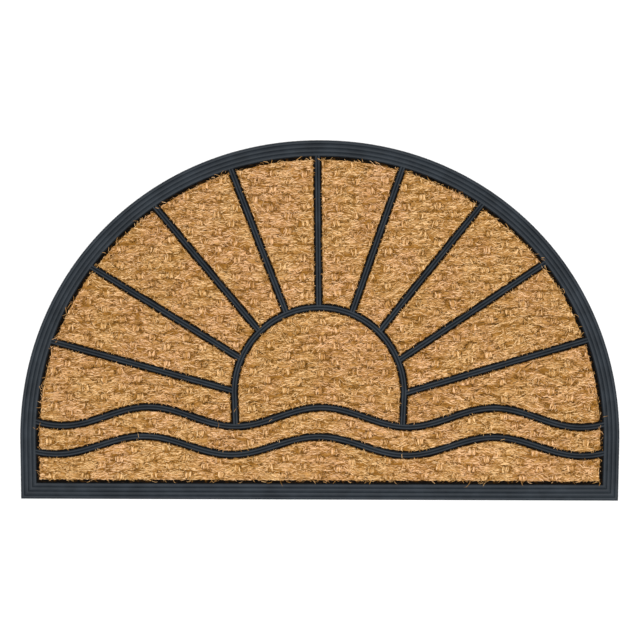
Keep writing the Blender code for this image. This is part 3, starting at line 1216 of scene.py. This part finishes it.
def strands_beside_edge(field, settings, rng):
    """Strands that lie along the cut."""
    rim = len(field.outline)
    first = rng.integers(rim, size=(int(settings.beside_strands * rim), 1))
    place = (first + np.arange(len(STRAND_PLACES))) % rim
    straight = (field.inward[place[:, 0]] * field.inward[place[:, -1]]).sum(1) > 0.9
    first, place = first[straight], place[straight]
    depth = field.gap[first] + rng.uniform(*BESIDE_CUT, first.shape) + rng.normal(0, 0.25 * MM, place.shape)
    plan = field.outline[place] + field.inward[place] * depth[..., None]
    z = field.top(plan.reshape(-1, 2)).reshape(place.shape) - 0.3 * MM
    width = settings.strand_width * rng.uniform(0.6, 1.1, len(place))
    return Strands(np.concatenate([plan, z[..., None]], -1), width, rng.normal(*BESIDE_TONE, len(place)))


def strands_over_edge(field, places, reach, lean, tone, settings, rng):
    """Strands that reach out over the gap from the given stretches of the outline. lean is how far each is
    turned from the straight way out."""
    count = len(places)
    across = (count, 1)
    root = field.outline[places] + (field.ahead[places] - field.outline[places]) * rng.uniform(0, 1, across)
    root += field.inward[places] * (field.gap[places][:, None] + rng.uniform(*FRAY_START, across))
    out = -field.inward[places]
    cosine, sine = np.cos(lean), np.sin(lean)
    heading = np.stack([out[:, 0] * cosine - out[:, 1] * sine, out[:, 0] * sine + out[:, 1] * cosine], 1)
    side = np.stack([-heading[:, 1], heading[:, 0]], 1)
    bow = rng.normal(0, FRAY_BOW, across) * reach[:, None] * (1 - (2 * STRAND_PLACES - 1) ** 2)
    plan = root[:, None] + heading[:, None] * (STRAND_PLACES * reach[:, None])[..., None]
    plan += side[:, None] * bow[..., None]
    high = COIR_TOP - rng.uniform(*FRAY_BELOW, across)
    low = rng.uniform(FRAY_LOW, FRAY_HIGH, across)
    z = high + (low - high) * STRAND_PLACES**1.5
    outside = ~field.holds(plan.reshape(-1, 2)).reshape(z.shape)
    z = np.where(outside, np.maximum(z, CLEAR_OF_RUBBER), z)
    width = settings.strand_width * rng.uniform(0.35, 0.8, count)
    tones = rng.normal(tone, FRAY_TONE_SPREAD, count)
    return Strands(np.concatenate([plan, z[..., None]], -1), width, tones)


class DOORMAT_OT_coir(bpy.types.Operator):
    """Weave the coir of every field and lay its strands"""

    bl_idname = "doormat.coir"
    bl_label = "Woven coir"

    def execute(self, context):
        settings = context.scene.doormat_weave
        colours = context.scene.doormat_colours
        bed_finish, strand_finish = coir_bed_material(colours), coir_strand_material(colours)
        weave = Weave(settings)
        rng = np.random.default_rng(settings.seed + 1)
        laid = Strands.joined(
            [
                yarn_strands(weave, settings, rng, weft=True),
                yarn_strands(weave, settings, rng, weft=False),
                crevice_shade_strands(weave, settings, rng),
                loose_strands(settings, rng),
            ]
        )
        for field in coir_fields():
            bed = woven_bed(field, weave, settings.seed)
            bed.data.materials.append(bed_finish)
            own = Strands.joined(
                [
                    cut_to_field(laid, field),
                    strands_beside_edge(field, settings, rng),
                    fray_along_rib(field, settings, rng),
                ]
            )
            own.tone += FIELD_TONES.get(field.name, 0.0)
            strands = own.mesh(field.name.replace("coir", "coir_strands"), rng)
            strands.data.materials.append(strand_finish)
            for piece in (bed, strands):
                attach(piece, "root")
            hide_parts(field.name)
        return {"FINISHED"}


def fray_along_rib(field, settings, rng):
    """Short ends that stick out of the cut beside a rib."""
    along_rib = np.nonzero(~field.at_rim)[0]
    places = rng.choice(along_rib, int(settings.rib_fray * len(along_rib)))
    reach = rng.uniform(*RIB_FRAY_REACH, len(places))
    lean = rng.normal(0, RIB_FRAY_LEAN, len(places))
    return strands_over_edge(field, places, reach, lean, RIB_FRAY_TONE, settings, rng)


def fray_along_rim(field, settings, rng):
    """Ends that straggle over the wider gap beside the border, here and there in a tuft."""
    along_rim = np.nonzero(field.at_rim)[0]
    x, y = field.outline[along_rim].T
    amount = RIM_FRAY_EVEN + RIM_FRAY_UNEVEN * smooth_noise(x, y, RIM_FRAY_SIZE, settings.seed + 9)
    for tuft_x, tuft_y, size in TUFTS:
        amount += TUFT_FRAY * np.exp(-((x / MM - tuft_x) ** 2 + (y / MM - tuft_y) ** 2) / size**2)
    places = np.repeat(along_rim, rng.poisson(settings.rim_fray * amount))
    reach = rng.gamma(RIM_FRAY_MEAN_REACH, 1.0, len(places)) * MM
    lean = rng.choice((-1, 1), len(places)) * rng.normal(*RIM_FRAY_LEAN, len(places))
    return strands_over_edge(field, places, reach, lean, RIM_FRAY_TONE, settings, rng)


def stray_strands(settings, rng):
    """Single fibres lying over the ribs."""
    x, y, length, heading = np.array(STRAYS, float).T
    count = len(STRAYS)
    bow = rng.normal(0, STRAY_BOW, count) * length
    from_middle = 2 * STRAND_PLACES - 1
    along = from_middle / 2 * length[:, None]
    aside = (1 - from_middle**2) * bow[:, None]
    x, y = turned(along * MM, aside * MM, np.radians(heading), x * MM, y * MM)
    z = np.broadcast_to(STRAY_HEIGHT + STRAY_CURL * from_middle**2, x.shape)
    width = settings.strand_width * rng.uniform(0.4, 0.6, count)
    return Strands(np.stack([x, y, z], -1), width, rng.uniform(*STRAY_TONES, count))


class DOORMAT_OT_fray(bpy.types.Operator):
    """Fray the coir along the border and drop stray fibres on the ribs"""

    bl_idname = "doormat.fray"
    bl_label = "Frayed ends"

    def execute(self, context):
        settings = context.scene.doormat_weave
        rng = np.random.default_rng(settings.seed + 2)
        finish = bpy.data.materials["coir_strands"]
        made = {
            "frayed_ends": Strands.joined([fray_along_rim(field, settings, rng) for field in coir_fields()]),
            "stray_fibres": stray_strands(settings, rng),
        }
        for name, strands in made.items():
            piece = strands.mesh(name, rng)
            piece.data.materials.append(finish)
            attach(piece, "root")
        return {"FINISHED"}


def paper_floor(colour):
    """A plain matt studio floor."""
    material = new_material("paper_floor")
    shader = add_node(material, "ShaderNodeBsdfPrincipled", Base_Color=(*colour, 1.0), Roughness=0.9)
    add_node(material, "ShaderNodeOutputMaterial", [("Surface", shader, "BSDF")])
    return material


class DOORMAT_OT_stage(bpy.types.Operator):
    """Set the plain stage: floor, white surround, soft box and the camera straight above"""

    bl_idname = "doormat.stage"
    bl_label = "Stage"

    PICTURE_WIDTH = 814.8 * MM
    SENSOR = 36.0
    CAMERA_SHIFT = -0.3 * MM
    LAMP_PLACE = Vector((0.06, -0.2, 1.9))

    def execute(self, context):
        scene = context.scene
        settings = scene.doormat_stage
        bpy.ops.object.select_all(action="DESELECT")
        bpy.ops.mesh.primitive_plane_add(size=12.0, location=(0, 0, -0.2 * MM))
        floor = context.object
        floor.name = "floor"
        bpy.ops.object.transform_apply(location=True, rotation=False, scale=False)
        floor.data.materials.append(paper_floor(settings.floor_colour))

        surround = bpy.data.worlds.new("white_surround")
        surround.use_nodes = True
        background = surround.node_tree.nodes["Background"]
        background.inputs["Color"].default_value = (1.0, 1.0, 1.0, 1.0)
        background.inputs["Strength"].default_value = settings.sky_strength
        scene.world = surround
        scene.view_settings.view_transform = "Standard"

        lamp = bpy.data.lights.new("soft_box", "AREA")
        lamp.shape = "SQUARE"
        lamp.size = 0.8
        lamp.energy = settings.lamp_power
        soft_box = bpy.data.objects.new("soft_box", lamp)
        soft_box.location = self.LAMP_PLACE
        soft_box.rotation_euler = self.LAMP_PLACE.to_track_quat("Z", "Y").to_euler()
        scene.collection.objects.link(soft_box)

        lens = bpy.data.cameras.new("camera")
        lens.sensor_width = self.SENSOR
        lens.lens = self.SENSOR * settings.camera_height / self.PICTURE_WIDTH
        lens.clip_end = 50.0
        camera = bpy.data.objects.new("camera", lens)
        camera.location = (self.CAMERA_SHIFT, 0.0, settings.camera_height)
        camera.rotation_euler = (0.0, 0.0, settings.camera_turn)
        scene.collection.objects.link(camera)
        scene.camera = camera
        return {"FINISHED"}


class DOORMAT_PT_sidebar(bpy.types.Panel):
    """Lists the doormat's sizes, colours and steps"""

    bl_idname = "DOORMAT_PT_sidebar"
    bl_label = "Coir doormat"
    bl_space_type = "VIEW_3D"
    bl_region_type = "UI"
    bl_category = "Doormat"

    def draw(self, context):
        for group_name in GROUPS:
            group = getattr(context.scene, group_name)
            box = self.layout.box()
            for name in group.__annotations__:
                box.prop(group, name)
        for operator in OPERATORS:
            self.layout.operator(operator.bl_idname)


GROUPS = {"doormat_weave": DoormatWeave, "doormat_colours": DoormatColours, "doormat_stage": DoormatStage}
OPERATORS = (DOORMAT_OT_moulding, DOORMAT_OT_coir, DOORMAT_OT_fray, DOORMAT_OT_stage)


def register():
    for known in (*GROUPS.values(), *OPERATORS, DOORMAT_PT_sidebar):
        bpy.utils.register_class(known)
    for name, group in GROUPS.items():
        setattr(bpy.types.Scene, name, PointerProperty(type=group))


def unregister():
    for name in GROUPS:
        delattr(bpy.types.Scene, name)
    for known in (DOORMAT_PT_sidebar, *reversed(OPERATORS), *reversed(GROUPS.values())):
        bpy.utils.unregister_class(known)


def main():
    register()
    bpy.ops.doormat.moulding()
    bpy.ops.doormat.coir()
    bpy.ops.doormat.fray()
    bpy.ops.doormat.stage()


if __name__ == "__main__":
    main()
